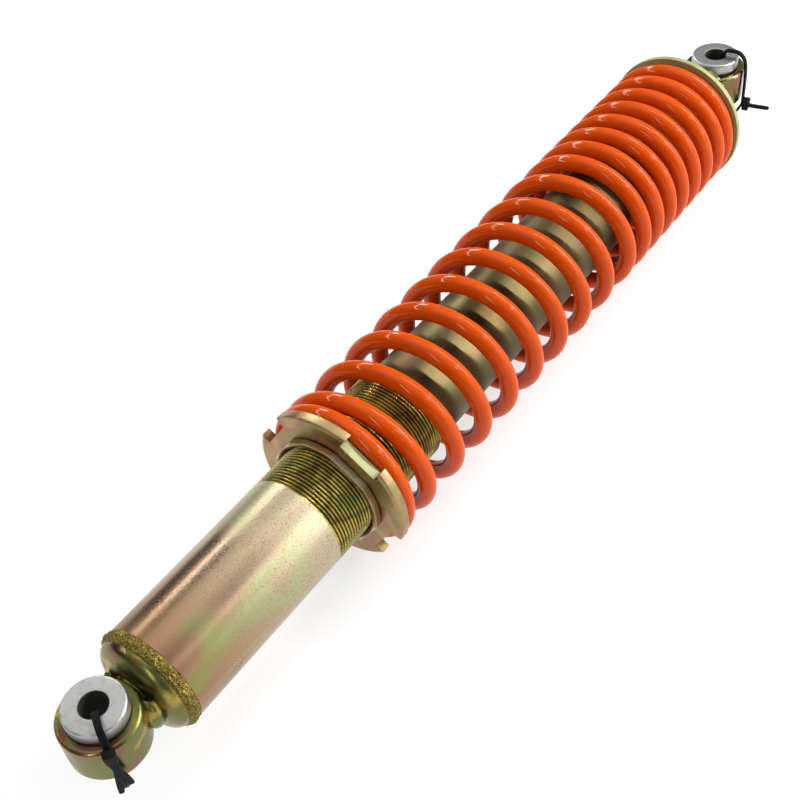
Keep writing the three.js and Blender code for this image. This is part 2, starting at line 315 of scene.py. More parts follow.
def weld_metal(name):
    """Brass-coloured bead: bright grains, with painted shade in the gaps between them and soot in patches."""
    gold = colours().zinc_gold
    finish = Finish(name, Metallic=1.0)
    grains = finish.node("ShaderNodeTexVoronoi", output="Distance", inputs={
        "Vector": finish.place(), "Scale": 1 / (0.8 * MM)})
    fine = finish.clouds(0.6 * MM, 4)
    broad = finish.clouds(6 * MM, 2)
    # painted shade: the gaps between grains are darkened as if shade lay in them; the fine noise adds soot in
    # patches
    crevice_shade = finish.ramp(grains, 0.25, 0.6)
    tone = finish.blend(finish.ramp(broad, 0.4, 0.6), gold, darker(gold, 0.62))
    tone = finish.blend(crevice_shade * 0.5 + finish.ramp(fine, 0.5, 0.7) * 0.3, tone, WELD_SOOT_AND_SHADE)
    finish.set("Base Color", tone)
    finish.set("Roughness", 0.24 + 0.3 * fine)
    finish.bump(fine * 0.8 - grains, 0.5 * MM)


def turned_aluminium(name):
    """Turned face with rings about the nearer bore, specks of dirt on it and painted shade down the bore."""
    finish = Finish(name, Metallic=1.0)
    base = colours().aluminium
    y = finish.axis("Y")
    middle = (eye_centre("lower") + eye_centre("upper")) / 2
    away = finish.node("ShaderNodeMath", {"operation": "ABSOLUTE"}, {0: finish.axis("X") - middle})
    along = away - middle
    radius = (along * along + y * y) ** 0.5
    rings = finish.node("ShaderNodeMath", {"operation": "SINE"}, {0: radius * (TAU / (0.22 * MM))})
    dirt = finish.clouds(4 * MM, 5, rough=0.65)
    specks = finish.clouds(0.7 * MM, 2)
    # painted shade: the bore's wall is painted near black, as if in shade, and made rougher
    in_bore = finish.ramp(radius, 5.6 * MM, 5.0 * MM)
    tone = finish.blend(finish.ramp(dirt, 0.45, 0.7) * 0.45, base, darker(base, 0.5))
    tone = finish.blend(finish.ramp(specks, 0.6, 0.75) * 0.3, tone, (0.16, 0.16, 0.14))
    tone = finish.blend(in_bore, tone, (0.07, 0.07, 0.06))
    finish.set("Base Color", tone)
    finish.set("Roughness", 0.3 + 0.2 * dirt + in_bore * 0.3)
    finish.bump(rings * 0.2 + specks, 0.02 * MM)


def gloss_paint(name):
    """Orange paint with a faint orange peel under its gloss."""
    base = colours().paint
    finish = Finish(name, Coat_Roughness=0.05, Coat_IOR=1.38, IOR=1.45, Specular_IOR_Level=0.0)
    peel = finish.clouds(2.4 * MM, 2)
    dust = finish.clouds(12 * MM, 4)
    dusty = (base[0] * 0.86, base[1] * 0.7, base[2] * 0.7)
    tone = finish.blend(finish.ramp(dust, 0.45, 0.7) * 0.3, base, dusty)
    finish.set("Base Color", tone)
    finish.set("Roughness", 0.5 + 0.15 * dust)
    finish.set("Coat Weight", 0.55 + 0.15 * peel)
    finish.bump(peel, 0.02 * MM, 0.5)


def moulded_nylon(name):
    finish = Finish(name, Specular_IOR_Level=0.1)
    mottle = finish.clouds(1.5 * MM, 3)
    tone = finish.blend(mottle, (0.002, 0.002, 0.002), (0.008, 0.008, 0.008))
    finish.set("Base Color", tone)
    finish.set("Roughness", 0.42 + 0.2 * mottle)
    finish.bump(mottle, 0.03 * MM)


def black_rubber(name):
    finish = Finish(name, Specular_IOR_Level=0.35)
    bloom = finish.clouds(5 * MM, 4)
    pores = finish.clouds(0.7 * MM, 4)
    tone = finish.blend(finish.ramp(bloom, 0.4, 0.7), (0.012, 0.012, 0.012), (0.035, 0.033, 0.031))
    finish.set("Base Color", tone)
    finish.set("Roughness", 0.62 + 0.25 * pores)
    finish.bump(pores, 0.08 * MM)


def ground_steel(name, base, gloss):
    """Bright steel with fine grinding lines round it."""
    finish = Finish(name, Metallic=1.0)
    lines = finish.clouds(0.6 * MM, 2, finish.stretched((1, 0.04, 0.04)))
    tone = finish.blend(lines * 0.4, base, darker(base, 0.7))
    finish.set("Base Color", tone)
    finish.set("Roughness", gloss + 0.12 * lines)
    finish.bump(lines, 0.01 * MM)


def studio_floor(name):
    finish = Finish(name, Roughness=0.9, Specular_IOR_Level=0.1)
    wash = finish.clouds(0.6, 2)
    base = colours().floor
    finish.set("Base Color", finish.blend(wash * 0.15, base, darker(base, 0.98)))
    finish.set("Emission Color", (1, 1, 1, 1))
    finish.set("Emission Strength", colours().floor_glow)


def make_finishes():
    c, s = colours(), sizes()
    crest = span("body_tube")[2]
    rose, leaf = darker(c.zinc_pink, 0.6), darker(c.zinc_green, 0.62)
    zinc("yellow_zinc", (
        BROWN, c.zinc_pink, c.zinc_tan, c.zinc_pink, c.zinc_tan, c.zinc_green, c.zinc_tan),
        patch=24 * MM, gloss=0.2, drawn=0.5, grain=0.01 * MM)
    zinc("collar_zinc", (UMBER, SAND, c.zinc_pink, MOSS, SAND, MOSS, SAND), patch=20 * MM, gloss=0.26)
    zinc("thread_zinc", (
        c.olive, c.zinc_gold, c.zinc_gold, c.olive, c.zinc_gold, c.zinc_green, c.zinc_gold),
        patch=12 * MM, gloss=0.2, grain=0.002 * MM, edge_highlight=0,
        grooves=(crest - s.thread_depth, crest - 0.15 * MM))
    zinc("olive_zinc", (BROWN, rose, c.olive, leaf, c.olive, c.zinc_gold, rose), patch=15 * MM, gloss=0.18)
    zinc("seat_zinc", (PALE_GREEN, PALE_GREEN, LIME, PALE_GREEN, LIME, PALE_GREEN, PALE_GREEN),
         patch=18 * MM, gloss=0.45, metal=0.45)
    zinc("upper_zinc", (
        SOOT, UPPER_GREENS[0], UPPER_PINKS[0], UPPER_GREENS[1], UPPER_PINKS[1], UPPER_GREENS[2], SOOT),
        patch=20 * MM, gloss=0.34, drawn=0.4, grain=0.01 * MM)
    weld_metal("weld")
    turned_aluminium("aluminium")
    gloss_paint("orange_paint")
    moulded_nylon("black_nylon")
    black_rubber("black_rubber")
    ground_steel("steel", (0.45, 0.46, 0.48), 0.3)
    ground_steel("hard_chrome", (0.80, 0.81, 0.83), 0.05)
    studio_floor("floor")


def finish_named(name):
    material = bpy.data.materials.get(f"{name}_finish")
    if material is None:
        raise RuntimeError(f"the finish {name} hasn't been made yet")
    return material


# ---------------------------------------------------------------- mesh building


def mesh_object(name, vertices, faces, finish, sharp=32):
    """A smooth-shaded piece whose edges stay sharp above the given angle in degrees."""
    mesh = bpy.data.meshes.new(name)
    mesh.from_pydata([tuple(v) for v in vertices], [], faces)
    mesh.validate()
    mesh.shade_smooth()
    mesh.set_sharp_from_angle(angle=math.radians(sharp))
    mesh.materials.append(finish_named(finish))
    obj = bpy.data.objects.new(name, mesh)
    bpy.context.scene.collection.objects.link(obj)
    return obj


def settle(obj, body, slot, *nodes):
    """The piece rides on its body and stands for its CAD nodes, which it hides. The slot is not used."""
    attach(obj, body)
    if nodes:
        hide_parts(*nodes)
    return obj


def rounded(corners, steps=4):
    """A closed outline from (radius, along, fillet) corners, each fillet drawn as an arc."""
    outline = []
    count = len(corners)
    for i, (r, s, fillet) in enumerate(corners):
        here = Vector((r, s))
        if fillet <= 0:
            outline.append((r, s))
            continue
        back = Vector(corners[i - 1][:2]) - here
        ahead = Vector(corners[(i + 1) % count][:2]) - here
        reach = min(fillet, 0.48 * back.length, 0.48 * ahead.length)
        start = here + back.normalized() * reach
        end = here + ahead.normalized() * reach
        for k in range(steps + 1):
            t = k / steps
            point = start * (1 - t) ** 2 + here * (2 * t * (1 - t)) + end * t ** 2
            outline.append((point.x, point.y))
    return outline


def lathe(name, outline, finish, axis="X", centre=0.0, segments=None, closed=True, sharp=32):
    """Turns an outline of (radius, along) about the shock's axis or about an eye's bore."""
    segments = segments or sizes().segments
    vertices, faces = [], []

    def put(r, s, angle):
        a, b = r * math.cos(angle), r * math.sin(angle)
        vertices.append((s, a, b) if axis == "X" else (centre + a, b, s))

    rows = []
    for r, s in outline:
        if r < 1e-7:
            rows.append([len(vertices)])
            put(0, s, 0)
        else:
            rows.append(list(range(len(vertices), len(vertices) + segments)))
            for k in range(segments):
                put(r, s, TAU * k / segments)
    pairs = list(zip(rows, rows[1:]))
    if closed:
        pairs.append((rows[-1], rows[0]))
    for low, high in pairs:
        for k in range(segments):
            j = (k + 1) % segments
            if len(low) == 1 and len(high) == 1:
                continue
            if len(low) == 1:
                faces.append((low[0], high[j], high[k]))
            elif len(high) == 1:
                faces.append((low[k], low[j], high[0]))
            else:
                faces.append((low[k], low[j], high[j], high[k]))
    return outward(mesh_object(name, vertices, faces, finish, sharp))


def outward(obj):
    """Turns a closed mesh's faces outwards."""
    mesh = obj.data
    total = 0.0
    for polygon in mesh.polygons:
        total += polygon.center.dot(polygon.normal) * polygon.area
    if total < 0:
        mesh.flip_normals()
    return obj


def sweep(name, path, ups, section, finish, sharp=40):
    """Carries a section along a path; section(t) gives (side, up) points for each place t from 0 to 1."""
    vertices, faces = [], []
    count = len(path)
    sides = 0
    for i, (point, up) in enumerate(zip(path, ups)):
        ahead = path[min(i + 1, count - 1)] - path[max(i - 1, 0)]
        along = ahead.normalized()
        side = along.cross(up).normalized()
        lift = side.cross(along).normalized()
        ring = section(i / (count - 1))
        sides = len(ring)
        vertices.extend(point + side * a + lift * b for a, b in ring)
    for i in range(count - 1):
        for k in range(sides):
            j = (k + 1) % sides
            low, high = i * sides, (i + 1) * sides
            faces.append((low + k, low + j, high + j, high + k))
    faces.append(tuple(reversed(range(sides))))
    faces.append(tuple(range((count - 1) * sides, count * sides)))
    return outward(mesh_object(name, vertices, faces, finish, sharp))


def curve_through(points, steps):
    """Points on a smooth curve through the given ones, with so many steps from each to the next."""
    found = []
    last = len(points) - 1
    for i in range(last):
        p0, p1 = points[max(i - 1, 0)], points[i]
        p2, p3 = points[i + 1], points[min(i + 2, last)]
        for k in range(steps):
            t = k / steps
            found.append(0.5 * (2 * p1 + (p2 - p0) * t + (2 * p0 - 5 * p1 + 4 * p2 - p3) * t ** 2
                                + (3 * p1 - p0 - 3 * p2 + p3) * t ** 3))
    found.append(points[last])
    return found


def cut(obj, boxes):
    """Cuts boxes, given as (size, place, turn about X), out of a piece."""
    for size, place, turn in boxes:
        bpy.ops.mesh.primitive_cube_add(size=1)
        cutter = bpy.context.active_object
        cutter.data.transform(Matrix.Diagonal((*size, 1)))
        cutter.data.transform(Matrix.Translation(place))
        cutter.data.transform(Matrix.Rotation(turn, 4, "X"))
        modifier = obj.modifiers.new("cut", "BOOLEAN")
        modifier.operation = "DIFFERENCE"
        modifier.solver = "EXACT"
        modifier.object = cutter
        bpy.context.view_layer.objects.active = obj
        bpy.ops.object.modifier_apply(modifier=modifier.name)
        bpy.data.objects.remove(cutter)


def soften(obj, width):
    """Breaks a piece's sharp edges."""
    bevel = obj.modifiers.new("edges", "BEVEL")
    bevel.width = width
    bevel.segments = 2
    bevel.limit_method = "ANGLE"
    bevel.angle_limit = math.radians(35)


# ---------------------------------------------------------------- the pieces


class SHOCK_OT_finishes(bpy.types.Operator):
    """Make every finish and give the hidden working pieces theirs"""
    bl_idname = "shock.finishes"
    bl_label = "Finishes"

    def execute(self, context):
        make_finishes()
        slots = {row["node"]: row["material_slot"] for row in frame["record"]["subparts"]}
        for node, obj in frame["nodes"].items():
            obj.data.materials.clear()
            obj.data.materials.append(finish_named(slots[node]))
        return {"FINISHED"}


# the bushes and spacers, measured inwards from their outer radius or their outer face
BUSH_LIP = 2.1 * MM
BUSH_LIP_THICK = 0.4 * MM
BUSH_WALL = 4.4 * MM
SPACER_FLANGE = 4.6 * MM
SPACER_WALL = 6.1 * MM
SPACER_HEAD = 4.9 * MM
FIT = 0.3 * MM


class SHOCK_OT_eyes(bpy.types.Operator):
    """Make both eye barrels with their bushes and turned spacers"""
    bl_idname = "shock.eyes"
    bl_label = "Eyes, bushes and spacers"

    def barrel(self, end, centre, body):
        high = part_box("lower_eye")[1]
        radius, half = high.y, high.z
        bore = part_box("lower_bush_top")[1].y - BUSH_LIP
        chamfer, fillet = 0.9 * MM, 0.5 * MM
        outline = rounded([
            (bore, -half, 0.3 * MM), (radius - chamfer, -half, fillet), (radius, chamfer - half, fillet),
            (radius, half - chamfer, fillet), (radius - chamfer, half, fillet), (bore, half, 0.3 * MM),
        ])
        obj = lathe(f"{end}_eye_barrel", outline, "olive_zinc", "Z", centre)
        settle(obj, body, "olive_zinc", f"{end}_eye")

    def trim(self, end, side, name, centre, body):
        """A rubber bush or an aluminium spacer, at the top or the bottom of an eye."""
        low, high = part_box(f"{end}_{name}_{side}")
        radius = high.y
        inner, outer = (low.z, high.z) if side == "top" else (high.z, low.z)
        sign = 1 if side == "top" else -1
        if name == "spacer":
            shank, bore, base = radius - SPACER_FLANGE, radius - SPACER_WALL, outer - sign * SPACER_HEAD
            corners = [
                (bore, inner, 0), (shank, inner, 0.3 * MM), (shank, base, 0), (radius, base, 0.3 * MM),
                (radius, outer, 1.1 * MM), (bore, outer, 0.5 * MM),
            ]
            obj = lathe(f"{end}_turned_spacer_{side}", rounded(corners, 6), "aluminium", "Z", centre)
            settle(obj, body, "aluminium", f"{end}_spacer_{side}")
            return
        sleeve, wall, base = radius - BUSH_WALL, radius - BUSH_LIP - FIT, outer - sign * BUSH_LIP_THICK
        corners = [
            (sleeve, inner, 0), (wall, inner, 0), (wall, base, 0), (radius, base, 0),
            (radius, outer, 0.15 * MM), (sleeve, outer, 0),
        ]
        obj = lathe(f"{end}_rubber_bush_{side}", rounded(corners), "black_rubber", "Z", centre)
        settle(obj, body, "black_rubber", f"{end}_bush_{side}")

    def execute(self, context):
        for end, body in (("lower", "damper"), ("upper", "rod")):
            centre = eye_centre(end)
            self.barrel(end, centre, body)
            for side in ("top", "bottom"):
                self.trim(end, side, "bush", centre, body)
                self.trim(end, side, "spacer", centre, f"{end}_spacers")
        self.neck()
        return {"FINISHED"}

    def neck(self):
        """The stem that screws the upper eye onto the rod."""
        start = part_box("upper_eye")[0].x
        centre = eye_centre("upper")
        outline = [
            (0, start), (7.4 * MM, start), (8.2 * MM, start + 0.8 * MM), (9.4 * MM, start + 2.2 * MM),
            (9.4 * MM, start + 10 * MM), (10.2 * MM, centre - 14 * MM), (12 * MM, centre - 10.5 * MM),
            (0, centre - 10 * MM),
        ]
        obj = lathe("upper_eye_stem", outline, "olive_zinc", closed=False)
        settle(obj, "rod", "olive_zinc")


class SHOCK_OT_end_cap(bpy.types.Operator):
    """Make the domed end cap and its neck"""
    bl_idname = "shock.end_cap"
    bl_label = "End cap"

    def execute(self, context):
        start, end, radius = span("end_cap")
        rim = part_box("tube_weld")[0].x
        neck, wall, steps = 8.3 * MM, 2.6 * MM, 24
        foot = rim - 5.4 * MM
        outline = [(0, start - 1.5 * MM), (neck + 0.4 * MM, start - 1.5 * MM), (neck, foot - 1.2 * MM)]
        for k in range(steps + 1):
            angle = math.pi / 2 * k / steps
            outline.append((neck + 0.6 * MM + (radius - neck - 0.6 * MM) * math.sin(angle),
                            rim - 0.2 * MM - (rim - foot) * math.cos(angle)))
        inner = radius - wall
        outline += [(radius, rim + 0.6 * MM), (inner, rim + 0.6 * MM), (inner, end), (0, end)]
        obj = lathe("domed_end_cap", outline, "olive_zinc", closed=False)
        settle(obj, "damper", "olive_zinc", "end_cap")
        return {"FINISHED"}


class SHOCK_OT_welds(bpy.types.Operator):
    """Lay the grainy bead round the tube and the weld runs at the lower eye"""
    bl_idname = "shock.welds"
    bl_label = "Welds"

    def bead(self):
        """The bead round the tube: a crowned ring, wandering a little and roughened in two grain sizes."""
        start, end, radius = span("tube_weld")
        grain = sizes().bead_grain
        around, across = 700, 26
        vertices, faces = [], []
        inner = radius - 3.6 * MM
        for i in range(around):
            angle = TAU * i / around
            wander = 0.35 * MM * noise.noise(Vector((3 * math.cos(angle), 3 * math.sin(angle), 2)))
            for k in range(across):
                t = k / (across - 1)
                crown = math.sin(math.pi * t) ** 0.6
                x = start - 0.3 * MM + (end - start + 0.9 * MM) * t + wander * (1 if t > 0.5 else 0.4)
                low = radius - 1.5 * MM + 1.1 * MM * t
                r = low + (radius + 0.1 * MM - low) * crown
                point = Vector((x, r * math.cos(angle), r * math.sin(angle)))
                rough = noise.noise(point / grain) * 0.42 + noise.noise(point / (0.4 * grain)) * 0.3
                r += rough * MM * min(1, 4 * crown)
                vertices.append((x, r * math.cos(angle), r * math.sin(angle)))
            vertices.append((end, inner * math.cos(angle), inner * math.sin(angle)))
            vertices.append((start, inner * math.cos(angle), inner * math.sin(angle)))
        ring = across + 2
        for i in range(around):
            j = (i + 1) % around
            for k in range(ring):
                m = (k + 1) % ring
                faces.append((i * ring + k, i * ring + m, j * ring + m, j * ring + k))
        obj = outward(mesh_object("tube_weld_bead", vertices, faces, "weld", 60))
        settle(obj, "damper", "weld", "tube_weld")

    def run(self, name, node, seed, finish, swell):
        """A lumpy run of weld with a small crater."""
        low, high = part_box(node)
        middle, half = (low + high) / 2, (high - low) / 2
        size = Matrix.Diagonal((half.x + swell, half.y + 0.6 * swell, half.z + 0.3 * swell))
        columns, rows = 48, 32
        vertices, faces = [], []
        crater = Vector((0.3, 0.2, 0.9)).normalized()
        for i in range(rows + 1):
            polar = math.pi * i / rows
            for k in range(columns):
                turn = TAU * k / columns
                flat = math.sin(polar)
                ray = Vector((flat * math.cos(turn), flat * math.sin(turn), math.cos(polar)))
                lumps = 1 + 0.14 * noise.noise(ray * 1.3 + Vector((seed, 0, 0)))
                lumps += 0.05 * noise.noise(ray * 4 + Vector((0, seed, 0)))
                lumps -= 0.3 * max(0.0, (ray.dot(crater) - 0.9) / 0.1)
                vertices.append(middle + size @ ray * lumps)
        for i in range(rows):
            for k in range(columns):
                j = (k + 1) % columns
                low, high = i * columns, (i + 1) * columns
                faces.append((low + k, low + j, high + j, high + k))
        obj = mesh_object(name, vertices, faces, finish, 60)
        weld = obj.modifiers.new("poles", "WELD")
        weld.merge_threshold = 0.00002
        settle(outward(obj), "damper", "weld", node)

    def execute(self, context):
        self.bead()
        self.run("eye_weld_run_left", "eye_weld_left", 3.1, "weld", 1.2 * MM)
        self.run("eye_weld_run_right", "eye_weld_right", 8.4, "olive_zinc", 2.6 * MM)
        return {"FINISHED"}


class SHOCK_OT_body(bpy.types.Operator):
    """Make the body tube with its cut thread and the plain tube above it"""
    bl_idname = "shock.body"
    bl_label = "Body tube and thread"

    def execute(self, context):
        s = sizes()
        start, end, radius = span("body_tube")
        inner = radius - 3.3 * MM
        lower = rounded([
            (inner, start, 0), (radius, start, 0.4 * MM), (radius, s.thread_start, 0),
            (inner, s.thread_start, 0),
        ])
        tube = lathe("lower_tube", lower, "yellow_zinc", segments=192)
        settle(tube, "damper", "yellow_zinc", "body_tube")
        self.thread(radius)
        foot = s.thread_end - 0.2 * MM
        mouth, bore, lip = 14 * MM, 17.2 * MM, 2 * MM
        top = rounded([
            (bore, foot, 0), (radius - s.thread_depth, foot, 0.2 * MM),
            (s.upper_tube, s.thread_end + 1.8 * MM, 0.4 * MM), (s.upper_tube, end, 1.4 * MM),
            (mouth, end, 0.3 * MM), (mouth, end - lip, 0), (bore, end - lip, 0), (bore, s.thread_end, 0),
        ])
        settle(lathe("upper_tube", top, "upper_zinc", segments=160), "damper", "yellow_zinc")
        return {"FINISHED"}

    def thread(self, radius):
        """Rows of points climb with the helix, so that every crest follows one row all the way."""
        s = sizes()
        around, per_turn = 160, 8
        cut_shape = (0.0, 0.25, 0.72, 1.0, 1.0, 0.72, 0.25, 0.0)
        inner = radius - 3.4 * MM
        tall = s.thread_end - s.thread_start
        rows = int(tall / s.thread_pitch) * per_turn
        made = bmesh.new()
        grid = []
        for i in range(-per_turn, rows + 1):
            row = []
            for k in range(around + 1):
                x = s.thread_start + s.thread_pitch * (i / per_turn + k / around)
                x = min(max(x, s.thread_start), s.thread_end)
                fade = min(1.0, (x - s.thread_start) / s.thread_pitch, (s.thread_end - x) / s.thread_pitch)
                r = radius - s.thread_depth * cut_shape[i % per_turn] * fade
                angle = TAU * k / around
                row.append(made.verts.new((x, r * math.cos(angle), r * math.sin(angle))))
            grid.append(row)
        for low, high in zip(grid, grid[1:]):
            for k in range(around):
                made.faces.new((low[k], low[k + 1], high[k + 1], high[k]))
        bmesh.ops.remove_doubles(made, verts=made.verts, dist=0.002 * MM)
        bmesh.ops.dissolve_degenerate(made, edges=made.edges, dist=0.002 * MM)
        for x, turn in ((s.thread_start, -1), (s.thread_end, 1)):
            rim = [v for v in made.verts if abs(v.co.x - x) < 1e-7]
            rim.sort(key=lambda v: math.atan2(v.co.z, v.co.y))
            ring = [made.verts.new((x, inner * math.cos(a), inner * math.sin(a)))
                    for a in (math.atan2(v.co.z, v.co.y) for v in rim)]
            for k in range(len(rim)):
                j = (k + 1) % len(rim)
                if (rim[k].co - rim[j].co).length > 1e-7:
                    made.faces.new((rim[k], rim[j], ring[j], ring[k])[::turn])
        made.verts.index_update()
        vertices = [tuple(v.co) for v in made.verts]
        faces = [tuple(v.index for v in face.verts) for face in made.faces]
        made.free()
        obj = mesh_object("preload_thread", vertices, faces, "thread_zinc", 80)
        settle(outward(obj), "damper", "yellow_zinc")


NOTCH_TURNS = [math.radians(34 + 90 * i) for i in range(4)]
NOTCH_FLOOR = 28.1 * MM
LOCK_RING_FLAT = 22.6 * MM
COLLAR_BORE = 21.1 * MM


class SHOCK_OT_collar(bpy.types.Operator):
    """Make the notched spring collar and the lock ring under it"""
    bl_idname = "shock.collar"
    bl_label = "Collar and lock ring"

    def around(self, size, place):
        """The same box at each notch."""
        return [(size, place, turn) for turn in NOTCH_TURNS]

    def execute(self, context):
        self.collar()
        self.lock_ring()
        return {"FINISHED"}

    def collar(self):
        start, end, radius = span("spring_seat_ring")
        face = start + 4.4 * MM
        bore = COLLAR_BORE
        outline = rounded([
            (bore, start + 0.6 * MM, 0), (bore + 0.6 * MM, start, 0), (radius - 1.2 * MM, start, 0.3 * MM),
            (radius, start + 0.6 * MM, 0.4 * MM), (radius, face, 0.4 * MM), (24.5 * MM, face, 0),
            (24.2 * MM, end, 0.6 * MM), (bore, end, 0.2 * MM),
        ])
        ring = lathe("spring_collar", outline, "collar_zinc", segments=180)
        place = Vector((start + 2 * MM, NOTCH_FLOOR + 7 * MM, 0))
        cut(ring, self.around((12 * MM, 14 * MM, 17 * MM), place))
        self.paler_floors(ring)
        soften(ring, 0.25 * MM)
        settle(ring, "collar", "yellow_zinc", "spring_seat_ring")

    def paler_floors(self, ring):
        ring.data.materials.append(finish_named("seat_zinc"))
        for polygon in ring.data.polygons:
            for turn in NOTCH_TURNS:
                way = Vector((0, math.cos(turn), math.sin(turn)))
                depth = polygon.center.dot(way) - NOTCH_FLOOR
                if polygon.normal.dot(way) > 0.999 and abs(depth) < 0.05 * MM:
                    polygon.material_index = 1

    def lock_ring(self):
        start, end, radius = span("lock_ring")
        bore = COLLAR_BORE
        outline = rounded([
            (bore, start + 1.3 * MM, 0.2 * MM), (bore + 1.3 * MM, start, 0.2 * MM),
            (radius, start, 0.35 * MM), (radius, end, 0.3 * MM), (bore, end, 0.1 * MM),
        ])
        ring = lathe("collar_lock_ring", outline, "collar_zinc", segments=180)
        cut(ring, self.around((12 * MM, 8 * MM, 24 * MM), Vector((start, LOCK_RING_FLAT + 4 * MM, 0))))
        soften(ring, 0.2 * MM)
        settle(ring, "collar", "yellow_zinc", "lock_ring")


# turn number and pitch in millimetres at that turn, from the lower end
PITCHES = ((0.2, 0), (1, 19.2), (9.3, 19.2), (9.9, 11.85), (16.6, 11.85), (17.6, 0), (17.8, 0))
FIRST_COIL_AT = math.radians(63)
LEAD = 0.2
END_ROUNDING = 0.14


def coil_rise(turn):
    """How far the wire has climbed by a turn, from the pitches."""
    rise = 0.0
    for (t0, p0), (t1, p1) in zip(PITCHES, PITCHES[1:]):
        t = min(max(turn, t0), t1)
        p = p0 + (p1 - p0) * (t - t0) / (t1 - t0)
        rise += (p0 + p) / 2 * (t - t0)
    return rise * MM


class SHOCK_OT_spring(bpy.types.Operator):
    """Wind the rising-rate coil spring with its closed, ground ends"""
    bl_idname = "shock.spring"
    bl_label = "Coil spring"

    def execute(self, context):
        low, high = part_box("spring")
        wire = sizes().wire
        radius = high.z - wire - 0.02 * MM
        turns = PITCHES[-1][0] + LEAD
        per_turn, sides = 56, 20
        count = int(turns * per_turn)
        path, ups = [], []
        for i in range(count + 1):
            turn = turns * i / count - LEAD
            angle = FIRST_COIL_AT + TAU * turn
            out = Vector((0, math.cos(angle), math.sin(angle)))
            path.append(out * radius + Vector((low.x + wire + coil_rise(turn), 0, 0)))
            ups.append(out)
        ring = [(wire * math.cos(TAU * k / sides), wire * math.sin(TAU * k / sides)) for k in range(sides)]

        def section(t):
            """The wire's round, a little smaller at its two cut ends."""
            nearest = min(t, 1 - t) * turns * TAU * radius
            full = math.sqrt(min(1.0, nearest / (0.6 * wire)))
            shrink = 1 - END_ROUNDING * (1 - full)
            return [(a * shrink, b * shrink) for a, b in ring]

        obj = sweep("coil_spring", path, ups, section, "orange_paint", 50)
        settle(obj, "spring_carrier", "orange_paint", "spring")
        stroke = next(j for j in frame["joints"] if j["name"] == "stroke")
        travel = max(stroke["range_m"])
        tall = high.x - low.x
        (tall - travel) / tall
        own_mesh(obj)
        return {"FINISHED"}


class SHOCK_OT_rod_end(bpy.types.Operator):
    """Make the rod, its bump stop and dust cap, the top seat and the lock nut"""
    bl_idname = "shock.rod_end"
    bl_label = "Rod, bump stop and top seat"

    def execute(self, context):
        start, end, radius = span("dust_cap")
        hole = 6.3 * MM
        outline = rounded([
            (hole, start, 0), (radius, start, 0.3 * MM), (radius, end, 1 * MM), (10 * MM, end, 0.4 * MM),
            (9 * MM, end - 0.8 * MM, 0), (hole, end - 0.8 * MM, 0),
        ])
        settle(lathe("rod_dust_cap", outline, "black_nylon"), "damper", "black_nylon", "dust_cap")

        start, end, radius = span("bump_stop")
        tall, fillet = end - start, 1.5 * MM
        outline = rounded([
            (hole, start, 0), (radius, start, 1.2 * MM), (radius, start + 0.3 * tall, fillet),
            (radius - 2.4 * MM, start + 0.42 * tall, fillet),
            (radius - 0.3 * MM, start + 0.54 * tall, fillet),
            (radius - 0.8 * MM, start + 0.74 * tall, 2 * MM), (radius - 4.6 * MM, end, fillet),
            (hole, end, 0.5 * MM),
        ], 6)
        settle(lathe("rubber_bump_stop", outline, "black_rubber"), "damper", "black_rubber", "bump_stop")

        start, end, radius = span("piston_rod")
        screwed, chamfer = 5 * MM, 0.6 * MM
        outline = [
            (0, start), (screwed - chamfer, start), (screwed, start + chamfer), (screwed, start + 24 * MM),
            (radius, start + 24.4 * MM), (radius, end - 19.4 * MM), (screwed, end - 18 * MM),
            (screwed, end - chamfer), (screwed - chamfer, end), (0, end),
        ]
        rod = lathe("chromed_rod", outline, "hard_chrome", closed=False, segments=72)
        settle(rod, "rod", "hard_chrome", "piston_rod")
        self.seat()
        self.nut()
        return {"FINISHED"}

    def seat(self):
        start, end, radius = span("upper_spring_seat")
        face = start + 3.6 * MM
        back = face + 2.8 * MM
        bore, hub = 5.3 * MM, 13 * MM
        outline = rounded([
            (bore, face - 0.3 * MM, 0), (10 * MM, face - 0.3 * MM, 0.4 * MM), (20.3 * MM, start, 1 * MM),
            (23.9 * MM, start, 1 * MM), (24.3 * MM, face, 0.6 * MM),
            (radius - 1 * MM, face + 0.2 * MM, 0.5 * MM), (radius, face - 0.1 * MM, 0.5 * MM),
            (radius, back, 0.9 * MM), (radius - 2.2 * MM, back, 0.8 * MM),
            (21.5 * MM, back - 0.4 * MM, 2 * MM), (18.3 * MM, face + 0.4 * MM, 2 * MM),
            (hub, back + 0.6 * MM, 1 * MM), (hub, end, 0.6 * MM), (bore, end, 0.2 * MM),
        ])
        seat = lathe("dished_top_seat", outline, "seat_zinc", segments=180)
        settle(seat, "rod", "yellow_zinc", "upper_spring_seat")

    def nut(self):
        """A hexagon whose corners are drawn in towards both faces."""
        low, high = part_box("rod_lock_nut")
        flats = max(high.y, high.z) * math.cos(math.radians(30))
        vertices, faces = [], []
        bore, chamfer, around = 5.2 * MM, 1.1 * MM, 72
        rings = ((bore, low.x), (flats * 0.96, low.x), (None, low.x + chamfer),
                 (None, high.x - chamfer), (flats * 0.96, high.x), (bore, high.x))
        for r, x in rings:
            for k in range(around):
                angle = TAU * k / around
                off_flat = (angle + math.pi / 6) % (math.pi / 3) - math.pi / 6
                reach = r or flats / math.cos(off_flat)
                vertices.append((x, reach * math.cos(angle), reach * math.sin(angle)))
        for i in range(len(rings)):
            j = (i + 1) % len(rings)
            for k in range(around):
                m = (k + 1) % around
                faces.append((i * around + k, i * around + m, j * around + m, j * around + k))
        obj = outward(mesh_object("hex_lock_nut", vertices, faces, "olive_zinc", 25))
        settle(obj, "rod", "yellow_zinc", "rod_lock_nut")


HEAD_SIZE = (3.4 * MM, 4.6 * MM, 5.6 * MM)
HEAD_ROUNDING = 0.55 * MM


